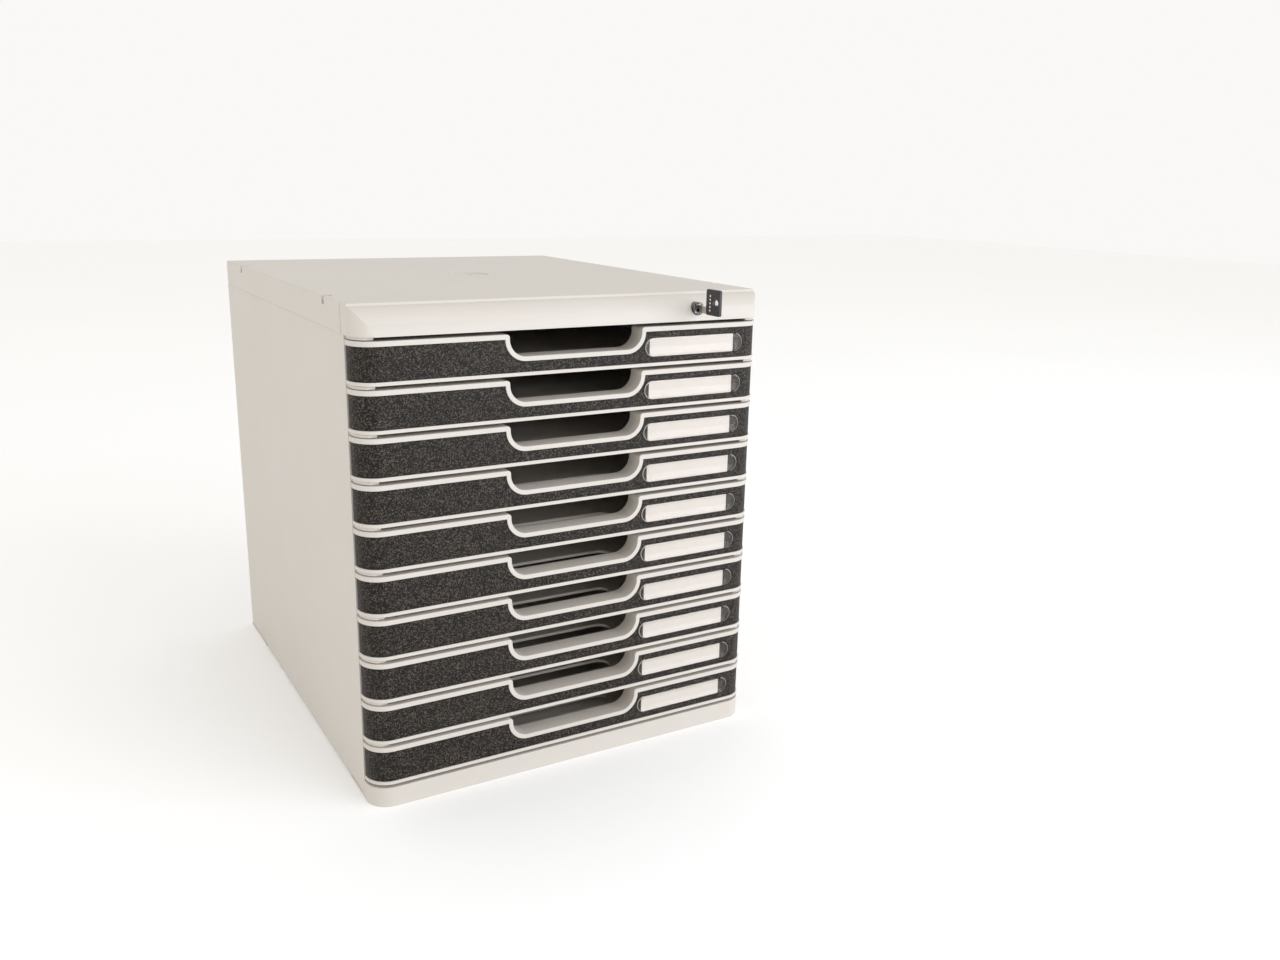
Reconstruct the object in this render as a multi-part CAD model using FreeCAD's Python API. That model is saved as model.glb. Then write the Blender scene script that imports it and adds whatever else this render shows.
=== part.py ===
"""Desktop drawer unit: ten shallow drawers in a moulded case with a lift-on lid and a central lock.

Units are millimetres. X runs to the right, Y to the back and Z up. The front looks towards -Y.
The origin lies on the floor, in the middle of the case's footprint.
"""

import FreeCAD
import Part
import math
import os

Vector = FreeCAD.Vector

# Overall plan of the case
WIDTH = 288.0
DEPTH = 350.0
CORNER_RADIUS = 15.0
REAR_CORNER_RADIUS = 4.0

# Heights, from the floor up
PLINTH_HEIGHT = 13.4
PLINTH_GAP = 2.2
DRAWERS = 10
PITCH = 28.6
FRONT_GAP = 2.5
LID_GAP = 2.3
LID_HEIGHT = 18.6

# Case walls
WALL = 3.0
SIDE_RECESS = 0.5
SIDE_BEAD = 5.0
SIDE_LINE = 0.8
SIDE_LINE_DEPTH = 0.6
SIDE_LIFT = 1.5
BACK_THICKNESS = 2.5
BACK_INSET = 1.2
GROOVE_RIB = 2.4
GROOVE_DEPTH = 4.0
GROOVE_PLAY = 0.1
DECK = 2.5
SHELL_WALL = 2.5
BASE_RIB = 2.0
BASE_RIB_HEIGHT = 4.0
BASE_RIB_SHARES = (-0.5, 0.0, 0.5)
MIDDLE_FOOT_RADIUS = 10.0
SEAT_CLEARANCE = 0.2

# Runners moulded on the side walls
RUNNER_WIDTH = 10.0
RUNNER_THICKNESS = 1.8
RUNNING_CLEARANCE = 0.3
STUB_SETBACK = 3.0
STUB_INSET = 1.0

# Feet pads and plinth nubs
PAD_WIDTH = 24.0
FRONT_PAD_LENGTH = 31.7
REAR_PAD_LENGTH = 53.8
NUB_FROM_SIDE = 14.0
NUB_RADIUS = 2.0
NUB_HEIGHT = 1.6

# Lid
LID_SKIN = 2.5
LID_STRAIGHT = 1.0
LID_LEAN = 11.8
LID_STEP = 1.8
LID_EDGE_RADIUS = 0.9
SOCKET_FROM_END = 59.0
SOCKET_LENGTH = 5.0
SOCKET_WIDTH = 6.0
SOCKET_DEPTH = 5.0
DIMPLE_RADIUS = 13.0
DIMPLE_DEPTH = 0.5
GATE_RADIUS = 2.6
GATE_BELOW_TOP = 0.2
CLIP_LENGTH = 12.0
CLIP_THICKNESS = 2.0
CLIP_BARB = 1.5
CLIP_FROM_END = 75.0

# Drawer front
FRONT_WRAP = 16.5
FRONT_BACK_GAP = 1.0
LOWER_LIP = 2.2
UPPER_LIP = 3.1
LIP_PROUD = 0.6
PANEL_THICKNESS = 2.5
PANEL_EASE = 0.05
FRONT_WALL = 2.2
LEDGE_DEPTH = 14.0
LEDGE_THICKNESS = 2.0
PANEL_END_INSET = 0.5

# Thumb notch in the drawer front
NOTCH_TO_POCKET = 2.8
NOTCH_FLOOR = 12.0
NOTCH_RIM = 2.9
NOTCH_RADIUS = 11.0
NOTCH_LEAD_RADIUS = 2.0

# Drawer tray
TRAY_FLOOR = 2.0
TRAY_WALL = 1.8
TRAY_CHANNEL = 14.5
TRAY_FLANGE = 5.2
TRAY_BACK_GAP = 10.7
TOP_PLAY = 0.1

# Finger slot in the tray floor
SLOT_LENGTH = 96.0
SLOT_WIDTH = 15.0
SLOT_FROM_FRONT = 34.0

# Label pocket, its window and card
POCKET_FROM_SIDE = 55.1
POCKET_LENGTH = 78.2
POCKET_HEIGHT = 13.0
POCKET_DEPTH = 1.5
POCKET_BELOW_MIDDLE = 0.2
WINDOW_CLEARANCE = 0.2
WINDOW_SETBACK = 0.1
WINDOW_THICKNESS = 0.9
CARD_LENGTH = 66.5
CARD_HEIGHT = 12.2
CARD_THICKNESS = 0.3
CARD_OFFSET = -1.65

# Stops that end a drawer's travel, which is the way from a lug to its stop
STOP_LENGTH = 4.0
STOP_FROM_SIDE_FRONT = 29.5
STOP_BOTTOM = 8.0
STOP_HEIGHT = 10.0
LUG_LENGTH = 3.0
LUG_FROM_REAR = 26.6
LUG_SIDE_GAP = 1.5
STOP_FLANGE_GAP = 0.8

# Lock
LOCK_FROM_SIDE = 54.0
LOCK_ABOVE_LID_EDGE = 8.2
PLUG_RADIUS = 3.1
PLUG_CLEARANCE = 0.05
BARREL_RADIUS = 4.0
BEZEL_RADIUS = 4.3
BEZEL_SEAT = 2.4
BEZEL_PROUD = 1.2
BEZEL_ROUND = 0.6
BARREL_LENGTH = 16.6
LOCK_HOLE_CLEARANCE = 0.1
BOSS_RADIUS = 8.0
BOSS_DEPTH = 12.0
NUT_FLATS = 11.0
NUT_THICKNESS = 3.0
PLUG_SETBACK = 0.2
PLUG_TAIL = 1.5
CAM_RADIUS = 6.0
CAM_THICKNESS = 1.6
CAM_THROW = 3.5
CAM_PIN_RADIUS = 1.2
CAM_PIN_LENGTH = 4.0
SCREW_PIN_GAP = 0.3
SCREW_HEAD = 1.5
SCREW_ROUND = 0.4
SCREW_SLOT = 0.8
SCREW_SHANK_RADIUS = 1.2
SCREW_SHANK = 7.0

# Key
KEY_THICKNESS = 1.4
KEY_WIDTH = 4.6
KEYWAY_CLEARANCE = 0.15
KEY_REACH = 15.0
KEY_BITS = 3
KEY_BIT_DEPTH = 1.1
KEY_BIT_LENGTH = 2.5
KEY_BIT_FLAT = 0.9
KEY_TIP_SLOPE = 1.8
KEY_NECK = 9.4
HEAD_LENGTH = 15.4
HEAD_HEIGHT = 16.9
HEAD_THICKNESS = 2.2
HEAD_BELOW_AXIS = 2.8
HEAD_CORNER = 1.4
HEAD_EDGE_ROUND = 0.4
HEAD_SOCKET = 6.5
HEAD_HOLE_WIDTH = 6.4
HEAD_HOLE_WALL = 2.4
HEAD_HOLE_ROOF = 2.5
HEAD_HOLE_INSET = 4.5
HEAD_HOLE_RISE = 7.0

# Locking bar
BAR_THICKNESS = 1.5
BAR_WIDTH = 10.0
BAR_WALL_GAP = 0.8
BAR_SLOT_CLEARANCE = 0.3
TOOTH_LENGTH = 4.5
TOOTH_HEIGHT = 4.0
TOOTH_BOTTOM = 9.0
TOOTH_FLANGE_GAP = 0.3
CATCH_GAP = 1.0
CATCH_LENGTH = 3.5
CATCH_MARGIN = 1.0
BAR_FRONT_GAP = 5.5
EAR_WIDTH = 11.0
EAR_SLOT_SIDE = 1.1
EAR_SLOT_END = 0.5
EAR_GAP = 0.3

# Places worked out from the sizes above
HALF_WIDTH = WIDTH / 2
FRONT_Y = -DEPTH / 2
BACK_Y = DEPTH / 2
FRONT_HEIGHT = PITCH - FRONT_GAP
FIRST_DRAWER_Z = PLINTH_HEIGHT + PLINTH_GAP
TOP_DRAWER_Z = FIRST_DRAWER_Z + (DRAWERS - 1) * PITCH
LID_BOTTOM = TOP_DRAWER_Z + FRONT_HEIGHT + LID_GAP
FLANGE_BOTTOM = LID_BOTTOM - RUNNER_THICKNESS
HEIGHT = LID_BOTTOM + LID_HEIGHT
SIDE_INNER = HALF_WIDTH - WALL
FRONT_REAR_Y = FRONT_Y + FRONT_WRAP
SIDE_FRONT_Y = FRONT_REAR_Y + FRONT_BACK_GAP
RUNNER_INNER = SIDE_INNER - RUNNER_WIDTH
RUNNER_BOTTOM = -RUNNING_CLEARANCE - RUNNER_THICKNESS
BACK_REAR_Y = BACK_Y - BACK_INSET
BACK_FRONT_Y = BACK_REAR_Y - BACK_THICKNESS
GROOVE_FRONT_Y = BACK_FRONT_Y - GROOVE_PLAY
RUNNER_END_Y = GROOVE_FRONT_Y - GROOVE_RIB
TRAY_HALF = HALF_WIDTH - TRAY_CHANNEL
TRAY_INNER = TRAY_HALF - TRAY_WALL
FLANGE_HALF = TRAY_HALF + TRAY_FLANGE
TRAY_REAR_Y = RUNNER_END_Y - TRAY_BACK_GAP
TRAY_TOP = FRONT_HEIGHT - TOP_PLAY
WALL_OFFSET = LIP_PROUD + PANEL_THICKNESS
BULKHEAD_FRONT_Y = FRONT_REAR_Y - LEDGE_THICKNESS
LEDGE_REAR_Y = FRONT_Y + LEDGE_DEPTH
LOCK_X = HALF_WIDTH - LOCK_FROM_SIDE
LOCK_Z = LID_BOTTOM + LOCK_ABOVE_LID_EDGE
STOP_FRONT_Y = SIDE_FRONT_Y + STOP_FROM_SIDE_FRONT
STOP_REAR_Y = STOP_FRONT_Y + STOP_LENGTH
LUG_FRONT_Y = TRAY_REAR_Y - LUG_FROM_REAR
STOP_INNER = FLANGE_HALF + STOP_FLANGE_GAP
BAR_OUTER = SIDE_INNER - BAR_WALL_GAP
BAR_INNER = BAR_OUTER - BAR_THICKNESS
BAR_FRONT_Y = SIDE_FRONT_Y + BAR_FRONT_GAP
BAR_REAR_Y = BAR_FRONT_Y + BAR_WIDTH
TOOTH_TIP = FLANGE_HALF + TOOTH_FLANGE_GAP
ARM_BOTTOM = LID_BOTTOM + RUNNING_CLEARANCE
POCKET_X = HALF_WIDTH - POCKET_FROM_SIDE
NOTCH_SIDE = POCKET_X - POCKET_LENGTH / 2 - NOTCH_TO_POCKET
NOTCH_SPREAD = NOTCH_SIDE - NOTCH_RADIUS
POCKET_Z = (LOWER_LIP + FRONT_HEIGHT - UPPER_LIP) / 2 - POCKET_BELOW_MIDDLE
PANEL_FACE_Y = FRONT_Y + LIP_PROUD
POCKET_FLOOR_Y = PANEL_FACE_Y + POCKET_DEPTH
BEZEL_SEAT_Y = FRONT_Y + BEZEL_SEAT
BOSS_REAR_Y = FRONT_Y + WALL + BOSS_DEPTH
BARREL_REAR_Y = BEZEL_SEAT_Y + BARREL_LENGTH
PLUG_FACE_Y = FRONT_Y - BEZEL_PROUD + PLUG_SETBACK
CAM_FRONT_Y = BARREL_REAR_Y + PLUG_TAIL
CAM_REAR_Y = CAM_FRONT_Y + CAM_THICKNESS
EAR_FRONT_Y = CAM_REAR_Y + SCREW_HEAD + EAR_GAP
SCREW_RADIUS = CAM_THROW - CAM_PIN_RADIUS - SCREW_PIN_GAP
HEAD_REAR_Y = FRONT_Y - BEZEL_PROUD - KEY_NECK


def drawer_z(number):
    """Height of a drawer's underside; drawer 1 is the top one."""
    return TOP_DRAWER_Z - (number - 1) * PITCH


def box(x0, x1, y0, y1, z0, z1):
    """Block between two corners, given as ranges."""
    low = Vector(min(x0, x1), min(y0, y1), min(z0, z1))
    return Part.makeBox(abs(x1 - x0), abs(y1 - y0), abs(z1 - z0), low)


def rod(radius, y0, y1, x, z):
    """Round bar along Y."""
    return Part.makeCylinder(radius, y1 - y0, Vector(x, y0, z), Vector(0, 1, 0))


def post(radius, z0, z1, x, y):
    """Round bar along Z."""
    return Part.makeCylinder(radius, z1 - z0, Vector(x, y, z0), Vector(0, 0, 1))


def joined(first, *others):
    """One solid made of touching or overlapping ones."""
    return first.fuse(list(others)).removeSplitter()


def mirrored(shape):
    """The same shape on the other side of the middle plane."""
    return shape.mirror(Vector(0, 0, 0), Vector(1, 0, 0))


def outline(start, *steps):
    """Flat face from a start point and the steps round it.

    A step is a point, for a straight edge, or a pair (middle, end), for an arc.
    """
    edges = []
    here = start
    for step in steps:
        if isinstance(step, tuple):
            middle, end = step
            edges.append(Part.Arc(here, middle, end).toShape())
        else:
            end = step
            edges.append(Part.LineSegment(here, end).toShape())
        here = end
    return Part.Face(Part.Wire(edges))


def front_block(inset, rear_y, z0, z1):
    """Upright block on the front zone's plan: full width, rounded front corners, moved in by an inset."""
    half = HALF_WIDTH - inset
    front = FRONT_Y + inset
    radius = CORNER_RADIUS - inset
    centre_x = half - radius
    centre_y = front + radius
    slant = radius * math.sqrt(0.5)
    start = Vector(-half, BACK_Y, z0)
    face = outline(
        start,
        Vector(-half, centre_y, z0),
        (Vector(-centre_x - slant, centre_y - slant, z0), Vector(-centre_x, front, z0)),
        Vector(centre_x, front, z0),
        (Vector(centre_x + slant, centre_y - slant, z0), Vector(half, centre_y, z0)),
        Vector(half, BACK_Y, z0),
        start,
    )
    return face.extrude(Vector(0, 0, z1 - z0)).common(box(-half, half, front, rear_y, z0, z1))


def notch_block(grow, y0, y1):
    """Block that fills the thumb notch, made larger all round by the rim that is asked for."""
    radius = NOTCH_RADIUS + grow
    side = NOTCH_SPREAD + radius
    floor_z = NOTCH_FLOOR - grow
    wall_z = floor_z + radius
    top = FRONT_HEIGHT + UPPER_LIP
    slant = radius * math.sqrt(0.5)
    middle_z = wall_z - slant
    start = Vector(-NOTCH_SPREAD, y0, floor_z)
    face = outline(
        start,
        Vector(NOTCH_SPREAD, y0, floor_z),
        (Vector(NOTCH_SPREAD + slant, y0, middle_z), Vector(side, y0, wall_z)),
        Vector(side, y0, top),
        Vector(-side, y0, top),
        Vector(-side, y0, wall_z),
        (Vector(-NOTCH_SPREAD - slant, y0, middle_z), start),
    )
    return face.extrude(Vector(0, y1 - y0, 0))


def notch_lead(y0, y1):
    """The two slivers that round the top edges of the notch where it opens through the upper lip."""
    lead = NOTCH_LEAD_RADIUS
    corner = box(NOTCH_SIDE, NOTCH_SIDE + lead, y0, y1, FRONT_HEIGHT - lead, FRONT_HEIGHT + UPPER_LIP)
    sliver = corner.cut(rod(lead, y0, y1, NOTCH_SIDE + lead, FRONT_HEIGHT - lead))
    return (sliver, mirrored(sliver))


def stadium(length, height, y0, y1, x, z):
    """Block with round ends, lying along X, for the label pocket and its window."""
    radius = height / 2
    half = length / 2 - radius
    start = Vector(x - half, y0, z - radius)
    face = outline(
        start,
        Vector(x + half, y0, z - radius),
        (Vector(x + half + radius, y0, z), Vector(x + half, y0, z + radius)),
        Vector(x - half, y0, z + radius),
        (Vector(x - half - radius, y0, z), start),
    )
    return face.extrude(Vector(0, y1 - y0, 0))


def make_base():
    """Hollow base: rounded plinth in front, deck between the side walls, corner pads and a middle foot."""
    half = SIDE_INNER - SEAT_CLEARANCE
    rear_y = BACK_Y - SEAT_CLEARANCE
    front_rear_y = SIDE_FRONT_Y - SEAT_CLEARANCE
    body = joined(
        front_block(0, front_rear_y, 0, PLINTH_HEIGHT),
        box(-half, half, front_rear_y, rear_y, 0, PLINTH_HEIGHT),
    )
    room_top = PLINTH_HEIGHT - DECK
    inner = half - SHELL_WALL
    room_front_y = front_rear_y - SHELL_WALL
    body = body.cut(front_block(SHELL_WALL, room_front_y, 0, room_top))
    body = body.cut(box(-inner, inner, room_front_y, rear_y - SHELL_WALL, 0, room_top))
    parts = []
    rib = BASE_RIB / 2
    rib_bottom = room_top - BASE_RIB_HEIGHT
    for share in BASE_RIB_SHARES:
        x = share * half
        y = share * rear_y
        parts.append(box(x - rib, x + rib, room_front_y, rear_y - SHELL_WALL, rib_bottom, room_top))
        parts.append(box(-inner, inner, y - rib, y + rib, rib_bottom, room_top))
    for side in (-1, 1):
        outer = side * HALF_WIDTH
        pad_inner = side * (HALF_WIDTH - PAD_WIDTH)
        parts.append(box(outer, pad_inner, front_rear_y, front_rear_y + FRONT_PAD_LENGTH, 0, SIDE_LIFT))
        parts.append(box(outer, pad_inner, rear_y - REAR_PAD_LENGTH, rear_y, 0, SIDE_LIFT))
    parts.append(post(MIDDLE_FOOT_RADIUS, 0, room_top, 0, 0))
    nub_y = (FRONT_Y + FRONT_REAR_Y) / 2
    nub_x = HALF_WIDTH - NUB_FROM_SIDE
    for x in (-nub_x, nub_x):
        parts.append(post(NUB_RADIUS, PLINTH_HEIGHT, PLINTH_HEIGHT + NUB_HEIGHT, x, nub_y))
    return joined(body, *parts)


def runner_stub(z0, z1):
    """Front end of a runner, rounded to the corner, that shows in the gap between two drawer fronts."""
    corner = front_block(STUB_INSET, SIDE_FRONT_Y, z0, z1)
    return corner.common(box(RUNNER_INNER, HALF_WIDTH, FRONT_Y + STUB_SETBACK, SIDE_FRONT_Y, z0, z1))


def clip_places():
    """Places along Y of the lid's clips."""
    return (FRONT_Y + CLIP_FROM_END, 0.0, BACK_Y - CLIP_FROM_END)


def clip_slot(y):
    """Slot in the side wall's top flange that a lid clip goes through."""
    half = CLIP_LENGTH / 2 + SEAT_CLEARANCE
    inner = SIDE_INNER - CLIP_THICKNESS - 2 * SEAT_CLEARANCE
    return box(inner, SIDE_INNER, y - half, y + half, FLANGE_BOTTOM, LID_BOTTOM)


def make_side():
    """Right side wall with runners, travel stops, rear groove, the lid's flange and a fine line outside."""
    wall = box(SIDE_INNER, HALF_WIDTH, SIDE_FRONT_Y, BACK_Y, SIDE_LIFT, LID_BOTTOM)
    recess_start = SIDE_FRONT_Y + SIDE_BEAD
    wall = wall.cut(box(HALF_WIDTH - SIDE_RECESS, HALF_WIDTH, recess_start, BACK_Y, SIDE_LIFT, LID_BOTTOM))
    line_floor = HALF_WIDTH - SIDE_RECESS - SIDE_LINE_DEPTH
    line_end = recess_start + SIDE_LINE
    wall = wall.cut(box(line_floor, HALF_WIDTH, recess_start, line_end, SIDE_LIFT, LID_BOTTOM))
    parts = []
    levels = [(FLANGE_BOTTOM, LID_BOTTOM)]
    for number in range(1, DRAWERS + 1):
        z = drawer_z(number)
        levels.append((z + RUNNER_BOTTOM, z - RUNNING_CLEARANCE))
        stop_z = z + STOP_BOTTOM
        parts.append(box(STOP_INNER, SIDE_INNER, STOP_FRONT_Y, STOP_REAR_Y, stop_z, stop_z + STOP_HEIGHT))
    for z0, z1 in levels:
        parts.append(box(RUNNER_INNER, SIDE_INNER, SIDE_FRONT_Y, RUNNER_END_Y, z0, z1))
    for z0, z1 in levels[:-1]:
        parts.append(runner_stub(z0, z1))
    groove_inner = SIDE_INNER - GROOVE_DEPTH
    groove_bottom = PLINTH_HEIGHT + GROOVE_PLAY
    parts.append(box(groove_inner, SIDE_INNER, RUNNER_END_Y, GROOVE_FRONT_Y, groove_bottom, LID_BOTTOM))
    parts.append(box(groove_inner, SIDE_INNER, BACK_REAR_Y, BACK_Y, groove_bottom, LID_BOTTOM))
    side = joined(wall, *parts)
    for y in clip_places():
        side = side.cut(clip_slot(y))
    return side


def bar_slot():
    """Slot through the right side's runners and top flange in which the locking bar moves."""
    y0 = BAR_FRONT_Y - BAR_SLOT_CLEARANCE
    y1 = BAR_REAR_Y + BAR_SLOT_CLEARANCE
    return box(FLANGE_HALF, SIDE_INNER, y0, y1, drawer_z(DRAWERS) + TRAY_FLOOR, LID_BOTTOM)


def make_back():
    """Flat back panel that stands on the deck and slides into the grooves of the side walls."""
    half = SIDE_INNER - SEAT_CLEARANCE
    return box(-half, half, BACK_FRONT_Y, BACK_REAR_Y, PLINTH_HEIGHT, LID_BOTTOM)


def lid_section(inset):
    """Block with the lid's section, moved in by an inset.

    Its front stands upright at the foot, bulges back over an arc and ends under a small step. The arc starts
    upright and ends at the lean, so its radius is (rise^2 + lean^2) / (2 lean).
    """
    rise = LID_HEIGHT - LID_STRAIGHT - LID_STEP
    bulge_radius = (rise**2 + LID_LEAN**2) / (2 * LID_LEAN)
    radius = bulge_radius - inset
    centre_y = FRONT_Y + bulge_radius
    centre_z = LID_BOTTOM + LID_STRAIGHT
    step_y = FRONT_Y + LID_LEAN + inset
    turn = math.acos((centre_y - step_y) / radius)
    slant = LID_EDGE_RADIUS * (1 - math.sqrt(0.5))
    x = -HALF_WIDTH

    def bulge(angle):
        return Vector(x, centre_y - radius * math.cos(angle), centre_z + radius * math.sin(angle))

    start = Vector(x, FRONT_Y + inset, LID_BOTTOM)
    face = outline(
        start,
        bulge(0),
        (bulge(turn / 2), bulge(turn)),
        Vector(x, step_y, HEIGHT - LID_EDGE_RADIUS),
        (Vector(x, step_y + slant, HEIGHT - slant), Vector(x, step_y + LID_EDGE_RADIUS, HEIGHT)),
        Vector(x, BACK_Y, HEIGHT),
        Vector(x, BACK_Y, LID_BOTTOM),
        start,
    )
    return face.extrude(Vector(WIDTH, 0, 0))


def lid_plan(inset, z0, z1):
    """Block on the lid's plan: large front corners and small rear ones."""
    block = front_block(inset, BACK_Y - inset, z0, z1)
    edges = []
    for edge in block.Edges:
        upright = abs(edge.Vertexes[0].Z - edge.Vertexes[-1].Z) > LID_EDGE_RADIUS
        if upright and edge.CenterOfMass.y > 0:
            edges.append(edge)
    return block.makeFillet(REAR_CORNER_RADIUS - inset / 2, edges)


def soften_top(lid):
    """Round the top edge of the lid's block all the way round."""
    edges = []
    for edge in lid.Edges:
        if min(vertex.Z for vertex in edge.Vertexes) > HEIGHT - LID_EDGE_RADIUS:
            edges.append(edge)
    return lid.makeFillet(LID_EDGE_RADIUS, edges)


def lid_clip(y):
    """Clip under the lid's right edge: a tongue with a barb that snaps under the side wall's flange."""
    half = CLIP_LENGTH / 2
    outer = SIDE_INNER - SEAT_CLEARANCE
    inner = outer - CLIP_THICKNESS
    barb_top = FLANGE_BOTTOM - SEAT_CLEARANCE
    return joined(
        box(inner, outer, y - half, y + half, barb_top - CLIP_BARB, LID_BOTTOM),
        box(inner, SIDE_INNER, y - half, y + half, LID_BOTTOM, HEIGHT - LID_SKIN),
        box(inner - CLIP_BARB, inner, y - half, y + half, barb_top - CLIP_BARB, barb_top),
    )


def make_lid():
    """Lid shell: bulging front, stacking sockets, lock hole, clips and a fine line down each side."""
    outer = soften_top(lid_plan(0, LID_BOTTOM, HEIGHT)).common(lid_section(0))
    room = lid_plan(WALL, LID_BOTTOM, HEIGHT - LID_SKIN).common(lid_section(WALL))
    boss = rod(BOSS_RADIUS, FRONT_Y, BOSS_REAR_Y, LOCK_X, LOCK_Z).common(outer)
    clips = [lid_clip(y) for y in clip_places()]
    lid = joined(outer.cut(room), boss, *clips, *[mirrored(clip) for clip in clips])
    bezel_hole = rod(BEZEL_RADIUS + LOCK_HOLE_CLEARANCE, FRONT_Y, BEZEL_SEAT_Y, LOCK_X, LOCK_Z)
    barrel_hole = rod(BARREL_RADIUS + LOCK_HOLE_CLEARANCE, FRONT_Y, BOSS_REAR_Y, LOCK_X, LOCK_Z)
    lid = lid.cut(bezel_hole).cut(barrel_hole)
    half = SOCKET_LENGTH / 2
    line_y = SIDE_FRONT_Y + SIDE_BEAD
    for side in (-1, 1):
        edge_x = side * HALF_WIDTH
        inner_x = side * (HALF_WIDTH - SOCKET_WIDTH)
        line_x = side * (HALF_WIDTH - SIDE_RECESS)
        for y in (FRONT_Y + SOCKET_FROM_END, BACK_Y - SOCKET_FROM_END):
            lid = lid.cut(box(edge_x, inner_x, y - half, y + half, HEIGHT - SOCKET_DEPTH, HEIGHT))
        lid = lid.cut(box(edge_x, line_x, line_y, line_y + SIDE_LINE, LID_BOTTOM, HEIGHT - LID_EDGE_RADIUS))
    lid = lid.cut(post(DIMPLE_RADIUS, HEIGHT - DIMPLE_DEPTH, HEIGHT, 0, 0))
    return joined(lid, post(GATE_RADIUS, HEIGHT - DIMPLE_DEPTH, HEIGHT - GATE_BELOW_TOP, 0, 0))


def tray_front():
    """Front of a tray: lips above and below, the wall behind the dark panel, and its rear bulkheads."""
    panel_top = FRONT_HEIGHT - UPPER_LIP
    body = front_block(0, FRONT_REAR_Y, 0, FRONT_HEIGHT)
    recess = front_block(-1, FRONT_REAR_Y, LOWER_LIP, panel_top)
    recess = recess.cut(front_block(WALL_OFFSET, FRONT_REAR_Y, LOWER_LIP, panel_top))
    recess = recess.cut(notch_block(NOTCH_RIM, FRONT_Y, FRONT_REAR_Y))
    body = body.cut(recess)
    room_inset = WALL_OFFSET + FRONT_WALL
    room = front_block(room_inset, BULKHEAD_FRONT_Y, TRAY_FLOOR, FRONT_HEIGHT - LEDGE_THICKNESS)
    room = joined(
        room,
        box(-TRAY_INNER, TRAY_INNER, LEDGE_REAR_Y, FRONT_REAR_Y, TRAY_FLOOR, FRONT_HEIGHT),
    )
    lining = notch_block(NOTCH_RIM, FRONT_Y, LEDGE_REAR_Y)
    room = room.cut(lining)
    body = body.cut(room)
    body = body.cut(notch_block(0, FRONT_Y, FRONT_REAR_Y))
    for sliver in notch_lead(FRONT_Y, FRONT_REAR_Y):
        body = body.cut(sliver)
    return body


def floor_slot():
    """Slot with round ends in the tray floor, for pushing papers up from below."""
    radius = SLOT_WIDTH / 2
    half = SLOT_LENGTH / 2 - radius
    y = FRONT_Y + SLOT_FROM_FRONT + radius
    slot = box(-half, half, y - radius, y + radius, 0, TRAY_FLOOR)
    ends = [post(radius, 0, TRAY_FLOOR, x, y) for x in (-half, half)]
    return joined(slot, *ends)


def make_tray():
    """Tray of one drawer at height zero: front, floor, channel-shaped sides, back, lugs and lock catch."""
    parts = [box(-TRAY_HALF, TRAY_HALF, FRONT_REAR_Y, TRAY_REAR_Y, 0, TRAY_FLOOR)]
    parts.append(box(-TRAY_HALF, TRAY_HALF, TRAY_REAR_Y - TRAY_WALL, TRAY_REAR_Y, 0, TRAY_TOP))
    flange_bottom = TRAY_TOP - TRAY_WALL
    side = [
        box(TRAY_INNER, TRAY_HALF, FRONT_REAR_Y, TRAY_REAR_Y, 0, TRAY_TOP),
        box(TRAY_INNER, FLANGE_HALF, FRONT_REAR_Y, TRAY_REAR_Y, 0, TRAY_FLOOR),
        box(TRAY_INNER, FLANGE_HALF, FRONT_REAR_Y, TRAY_REAR_Y, flange_bottom, TRAY_TOP),
    ]
    lug_top = STOP_BOTTOM + STOP_HEIGHT
    lug_outer = SIDE_INNER - LUG_SIDE_GAP
    side.append(box(TRAY_HALF, lug_outer, LUG_FRONT_Y, LUG_FRONT_Y + LUG_LENGTH, STOP_BOTTOM, lug_top))
    parts += side + [mirrored(piece) for piece in side]
    tooth_rear_y = BAR_FRONT_Y + TOOTH_LENGTH
    catch_y = tooth_rear_y + CATCH_GAP
    catch_top = TOOTH_BOTTOM + TOOTH_HEIGHT + CATCH_MARGIN
    catch_bottom = TOOTH_BOTTOM - CATCH_MARGIN
    parts.append(box(TRAY_HALF, FLANGE_HALF, catch_y, catch_y + CATCH_LENGTH, catch_bottom, catch_top))
    return joined(tray_front(), *parts).cut(floor_slot())


def make_front_panel():
    """Dark front panel of one drawer at height zero, wrapped round both corners and cut for the notch."""
    rear_y = FRONT_REAR_Y - PANEL_END_INSET
    z0 = LOWER_LIP + PANEL_EASE
    z1 = FRONT_HEIGHT - UPPER_LIP - PANEL_EASE
    panel = front_block(LIP_PROUD, rear_y, z0, z1)
    panel = panel.cut(front_block(WALL_OFFSET, rear_y, z0, z1))
    panel = panel.cut(notch_block(NOTCH_RIM + PANEL_EASE, FRONT_Y, FRONT_REAR_Y))
    return panel.cut(stadium(POCKET_LENGTH, POCKET_HEIGHT, FRONT_Y, POCKET_FLOOR_Y, POCKET_X, POCKET_Z))


def make_window():
    """Clear window of one label pocket at height zero, with legs that stand at its round ends."""
    face_y = PANEL_FACE_Y + WINDOW_SETBACK
    length = POCKET_LENGTH - 2 * WINDOW_CLEARANCE
    height = POCKET_HEIGHT - 2 * WINDOW_CLEARANCE
    window = stadium(length, height, face_y, POCKET_FLOOR_Y, POCKET_X, POCKET_Z)
    half = CARD_LENGTH / 2 - CARD_OFFSET + WINDOW_CLEARANCE
    sheet_rear_y = face_y + WINDOW_THICKNESS
    return window.cut(box(POCKET_X - half, POCKET_X + half, sheet_rear_y, POCKET_FLOOR_Y, 0, FRONT_HEIGHT))


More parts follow.
